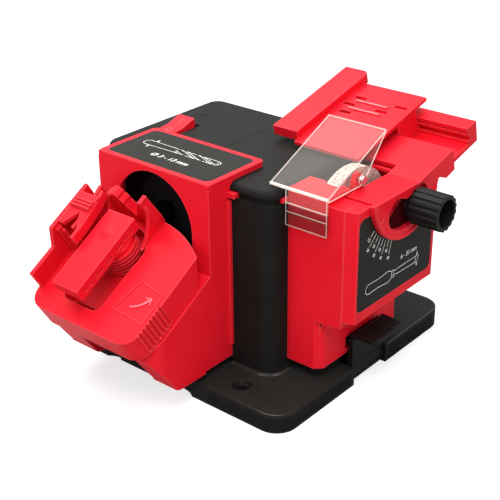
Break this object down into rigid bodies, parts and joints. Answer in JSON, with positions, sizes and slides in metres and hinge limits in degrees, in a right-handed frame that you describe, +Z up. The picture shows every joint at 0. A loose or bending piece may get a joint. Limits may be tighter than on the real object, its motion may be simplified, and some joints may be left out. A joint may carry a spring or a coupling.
{
  "type": "bench sharpener",
  "caption": "Red and black bench sharpener with a drill-bit swing head in front and a tilting blade table with sliding carriage and eye shield on the side.",
  "frame": {"origin": "centre of the base's underside", "axes": "+Z up, +X towards the blade table, -Y towards the drill unit"},
  "size_m": [0.2444, 0.2606, 0.1831],
  "materials": {
    "red_abs": "semi-gloss moulded",
    "black_abs": "fine textured",
    "rubber_black": "matte",
    "steel_bright": "bright zinc",
    "zinc_cast": "cast",
    "copper_wire": "enamelled wire",
    "brass_plain": "plain",
    "nylon_white": "moulded",
    "stone_grey": "bonded abrasive, gritty",
    "diamond_dark": "bonded abrasive, fine",
    "label_grey": "printed film",
    "clear_pc": "clear moulded sheet"
  },
  "bodies": {
    "frame": {"base_plate": "black_abs", "base_cover": "black_abs", "rubber_feet": "rubber_black", "cover_screws": "steel_bright", "housing_left": "black_abs", "housing_right": "black_abs", "housing_screws": "steel_bright", "cord_gland": "rubber_black", "switch_body": "black_abs", "motor_cradle": "zinc_cast", "stator": "zinc_cast", "field_coils": "copper_wire", "brush_holders": "brass_plain", "motor_bearings": "steel_bright", "spindle_cradle": "zinc_cast", "spindle_bearings": "steel_bright", "drill_housing": "red_abs", "drill_label": "label_grey", "blade_housing": "red_abs", "blade_cover": "red_abs", "blade_label": "label_grey", "cover_bolts": "steel_bright", "lock_nut": "steel_bright", "lock_washer": "steel_bright", "shield_pin": "steel_bright", "latch_pins": "steel_bright"},
    "rotor": {"motor_shaft": "steel_bright", "armature": "copper_wire", "commutator": "brass_plain", "cooling_fan": "nylon_white", "drive_bevel": "zinc_cast", "drill_wheel": "diamond_dark", "drill_wheel_nut": "steel_bright"},
    "spindle": {"blade_spindle": "steel_bright", "driven_bevel": "zinc_cast", "wheel_flange": "steel_bright", "blade_wheel": "stone_grey", "blade_wheel_nut": "steel_bright"},
    "rocker": {"switch_rocker": "red_abs"},
    "head": {"swing_head": "red_abs", "head_pivot": "steel_bright", "pivot_washer": "steel_bright", "drill_jaws": "red_abs", "length_gauge": "red_abs"},
    "clamp": {"clamp_screw": "red_abs", "clamp_lever": "red_abs"},
    "table": {"tilt_table": "red_abs"},
    "carriage": {"slide_shoe": "red_abs", "carriage_plate": "red_abs", "fence_bar": "red_abs"},
    "knob": {"lock_knob": "black_abs", "lock_bolt": "steel_bright"},
    "shield": {"eye_shield": "clear_pc"},
    "side_latch": {"blade_latch": "black_abs"},
    "front_latch": {"drill_latch": "black_abs"}
  },
  "joints": [
    {"name": "motor_spin", "type": "hinge", "parent": "frame", "child": "rotor", "pos_m": [-0.0204, 0, 0.119], "axis": [0, 1, 0], "continuous": true},
    {"name": "spindle_spin", "type": "hinge", "parent": "frame", "child": "spindle", "pos_m": [0, -0.007, 0.119], "axis": [1, 0, 0], "continuous": true},
    {"name": "rocker_press", "type": "hinge", "parent": "frame", "child": "rocker", "pos_m": [-0.066, -0.014, 0.1465], "axis": [1, 0, 0], "range_deg": [-22, 0]},
    {"name": "head_swing", "type": "hinge", "parent": "frame", "child": "head", "pos_m": [-0.0204, -0.12326, 0.06785], "axis": [0, -0.515, 0.8572], "range_deg": [-12, 12]},
    {"name": "clamp_turn", "type": "hinge", "parent": "head", "child": "clamp", "pos_m": [-0.031, -0.099, 0.08243], "axis": [0, -0.515, 0.8572], "range_deg": [0, 90]},
    {"name": "table_tilt", "type": "hinge", "parent": "frame", "child": "table", "pos_m": [0, 0.004, 0.152], "axis": [1, 0, 0], "range_deg": [0, 35]},
    {"name": "carriage_slide", "type": "slide", "parent": "table", "child": "carriage", "axis": [1, 0, 0], "range_m": [-0.006, 0.038]},
    {"name": "knob_turn", "type": "hinge", "parent": "frame", "child": "knob", "pos_m": [0.12, 0.0139, 0.13258], "axis": [1, 0, 0], "range_deg": [-180, 180]},
    {"name": "shield_lift", "type": "hinge", "parent": "frame", "child": "shield", "pos_m": [0.098, -0.0162, 0.1543], "axis": [1, 0, 0], "range_deg": [-25, 0]},
    {"name": "side_latch_press", "type": "hinge", "parent": "frame", "child": "side_latch", "pos_m": [0.094, 0.0015, 0.008], "axis": [0, 1, 0], "range_deg": [0, 8], "stiffness_Nm_per_rad": 1.5, "springref_deg": -8.59},
    {"name": "front_latch_press", "type": "hinge", "parent": "frame", "child": "front_latch", "pos_m": [-0.0204, -0.09, 0.008], "axis": [1, 0, 0], "range_deg": [0, 8], "stiffness_Nm_per_rad": 1.5, "springref_deg": -8.59}
  ],
  "couplings": [
    {"joint": "spindle_spin", "follows": "motor_spin", "ratio": 1}
  ]
}
